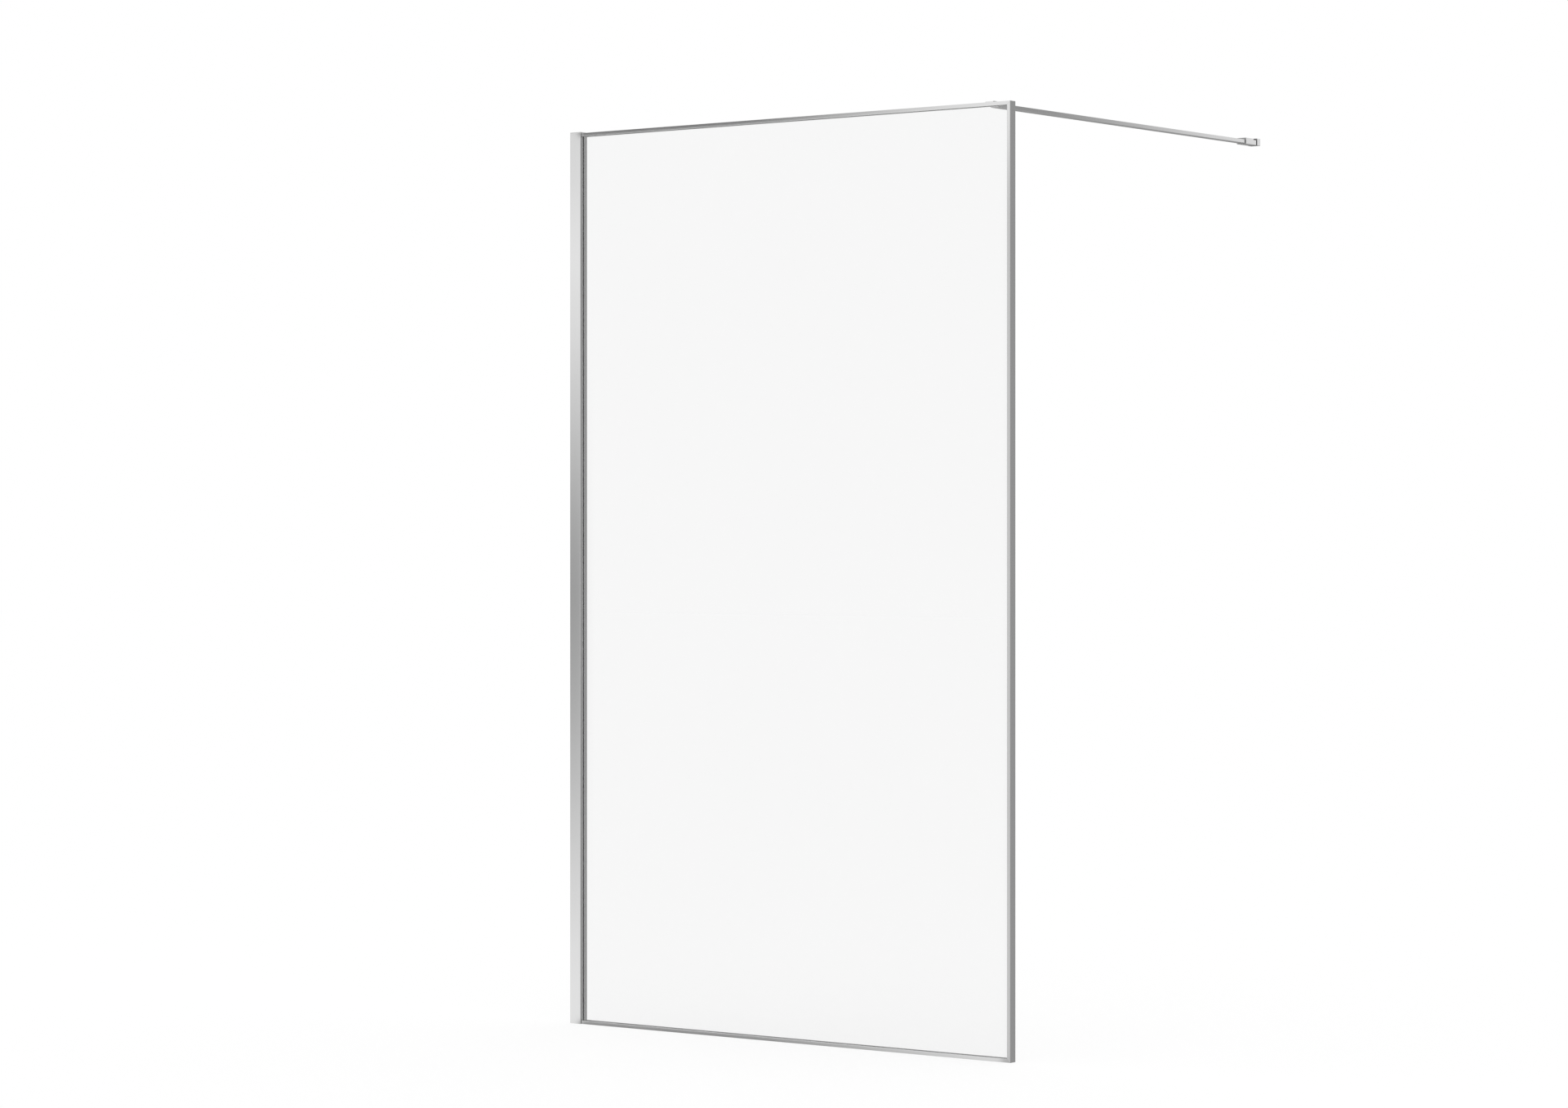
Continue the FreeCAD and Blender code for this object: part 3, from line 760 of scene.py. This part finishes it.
@dataclass
class Studio:
    """White floor and world, soft overhead lamp, and reflector boards that show in polished metal."""

    floor_reach: float = 40.0
    floor_glow: float = 0.85
    room_low: float = 0.42
    room_gain: float = 0.33
    room_bright_side: tuple[float, float] = (-0.8, -0.6)
    room_bright_edge: Fade = Fade(-0.6, 0.9)
    room_top_edge: Fade = Fade(0.6, 0.05)
    lamp_size: float = 4.0
    lamp_power: float = 8.0
    lamp_place: tuple[float, float, float] = (0.6, -1.0, 5.0)
    camera_lens: float = 96.223
    camera_sensor: float = 36.0
    camera_turn: float = math.radians(37.1509)
    camera_place: tuple[float, float, float] = (6.07319, -7.23247, 1.09143)
    camera_shift: float = -0.01037

    def flat(self, name: str, corners: tuple[tuple[float, float, float], ...]) -> bpy.types.Object:
        """Flat four-cornered stage piece.

        Args:
            name: its name.
            corners: its corners in order.

        Returns:
            The staged object.
        """
        mesh = bmesh.new()
        mesh.faces.new([mesh.verts.new(corner) for corner in corners])
        data = bpy.data.meshes.new(name)
        mesh.to_mesh(data)
        mesh.free()
        made = bpy.data.objects.new(name, data)
        bpy.context.scene.collection.objects.link(made)
        log.info("staged %s", name)
        return made

    def floor(self) -> None:
        """White floor that keeps the soft shadow of the screen."""
        reach = self.floor_reach
        corners = ((-reach, -reach, 0.0), (reach, -reach, 0.0), (reach, reach, 0.0), (-reach, reach, 0.0))
        floor = self.flat("floor", corners)
        material = bpy.data.materials.new("white_floor")
        material.use_nodes = True
        graph = NodeGraph(material.node_tree)
        shader = graph.add("ShaderNodeBsdfPrincipled", inputs={
            "Base Color": grey(1 - self.floor_glow),
            "Roughness": 1.0,
            "Specular IOR Level": 0.0,
            "Emission Color": WHITE,
            "Emission Strength": self.floor_glow,
        })
        self.seen_by(graph, 1 - self.reflected(graph), shader)
        floor.data.materials.append(material)

    def reflected(self, graph: NodeGraph) -> Value:
        """1 for a ray that a polished surface has reflected, 0 for any other."""
        return graph.value(graph.add("ShaderNodeLightPath"), "Glossy Depth").at_most(1.0)

    def seen_by(self, graph: NodeGraph, share: Value, shader: bpy.types.Node) -> None:
        """Close a stage piece's tree so that only some rays meet it.

        Args:
            graph: tree of the stage piece.
            share: 1 for a ray that sees the piece, 0 for one that passes.
            shader: what the ray sees.
        """
        clear = graph.add("ShaderNodeBsdfTransparent")
        inputs = {0: share, 1: graph.value(clear), 2: graph.value(shader)}
        mixed = graph.add("ShaderNodeMixShader", inputs=inputs)
        graph.add("ShaderNodeOutputMaterial", inputs={"Surface": graph.value(mixed)})

    def board(self, board: Board) -> NodeGraph:
        """Set up a reflector board.

        Args:
            board: its place and size.

        Returns:
            The empty tree of its glow.
        """
        made = self.flat(board.name, board.corners())
        made.visible_camera = False
        made.visible_diffuse = False
        made.visible_volume_scatter = False
        made.visible_shadow = False
        material = bpy.data.materials.new(board.name)
        material.use_nodes = True
        made.data.materials.append(material)
        return NodeGraph(material.node_tree)

    def glow(self, board: Board, graph: NodeGraph, across: Value, up: Value) -> None:
        """Let a board glow, where 1 is as white as the world.

        Args:
            board: its level and darker patches.
            graph: its empty tree.
            across: place that the patches are given in, along the width of the screen.
            up: the same along its height.
        """
        level: Operand = board.level
        for shade in board.shades:
            level = level - shade.taken(across, up)
        light = graph.add("ShaderNodeEmission", inputs={"Color": graph.blend(level, BLACK, WHITE)})
        x, _, z = graph.parts(graph.point())
        self.seen_by(graph, self.reflected(graph) * board.share(x, z), light)

    def boards(self) -> None:
        """Boards in front and behind, out of the picture, that give the metal its light and dark runs.

        The patches of the front board are given by the place on the screen where they show.
        """
        graph = self.board(FRONT_BOARD)
        x, _, z = graph.parts(graph.point())
        eye_x, eye_y, eye_z = self.camera_place
        beyond = FRONT_BOARD.depth / eye_y
        across = (x + eye_x * beyond) / (1 + beyond)
        up = (z + eye_z * beyond) / (1 + beyond)
        self.glow(FRONT_BOARD, graph, across, up)
        for board in (RIGHT_BOARD, LEFT_BOARD):
            graph = self.board(board)
            x, _, z = graph.parts(graph.point())
            self.glow(board, graph, x, z)

    def lamp(self) -> None:
        """Large soft lamp above the screen."""
        data = bpy.data.lights.new("soft_lamp", "AREA")
        data.shape = "SQUARE"
        data.size = self.lamp_size
        data.energy = self.lamp_power
        made = bpy.data.objects.new("soft_lamp", data)
        made.location = self.lamp_place
        bpy.context.scene.collection.objects.link(made)

    def world(self) -> None:
        """White surroundings that light all sides alike; polished metal sees the dimmer room low down."""
        world = bpy.data.worlds.new("white_studio")
        world.use_nodes = True
        graph = NodeGraph(world.node_tree)
        x, y, z = graph.parts(graph.direction())
        side_x, side_y = self.room_bright_side
        room = self.room_low + self.room_gain * self.room_bright_edge.of(side_x * x + side_y * y)
        shade = (1 - room) * self.room_top_edge.of(z)
        colour = graph.blend(self.reflected(graph) * shade, WHITE, BLACK)
        shader = graph.add("ShaderNodeBackground", inputs={"Color": colour, "Strength": 1.0})
        graph.add("ShaderNodeOutputWorld", inputs={"Surface": graph.value(shader)})
        bpy.context.scene.world = world
        bpy.context.scene.view_settings.view_transform = "Standard"

    def camera(self) -> None:
        """Level camera at the viewing angle of the photograph."""
        data = bpy.data.cameras.new("camera")
        data.lens = self.camera_lens
        data.sensor_width = self.camera_sensor
        data.shift_y = self.camera_shift
        made = bpy.data.objects.new("camera", data)
        made.location = self.camera_place
        made.rotation_euler = (math.pi / 2, 0.0, self.camera_turn)
        bpy.context.scene.collection.objects.link(made)
        bpy.context.scene.camera = made

    def build(self) -> None:
        """Set up the floor, the boards, the light and the camera."""
        self.floor()
        self.boards()
        self.lamp()
        self.world()
        self.camera()


def main() -> None:
    """Dress the screen, add its new pieces and set up the studio."""
    logging.basicConfig(level=logging.INFO, format="%(message)s")
    dresser = Dresser()
    glazing = Glazing()
    for assembly in (WallProfile(), PanelFrame(), glazing, Brace(), WallBracket()):
        assembly.dress(dresser)
    glazing.build(dresser)
    if dresser.waiting:
        log.warning("pieces without a finish: %s", sorted(dresser.waiting))
    Studio().build()


if __name__ == "__main__":
    main()
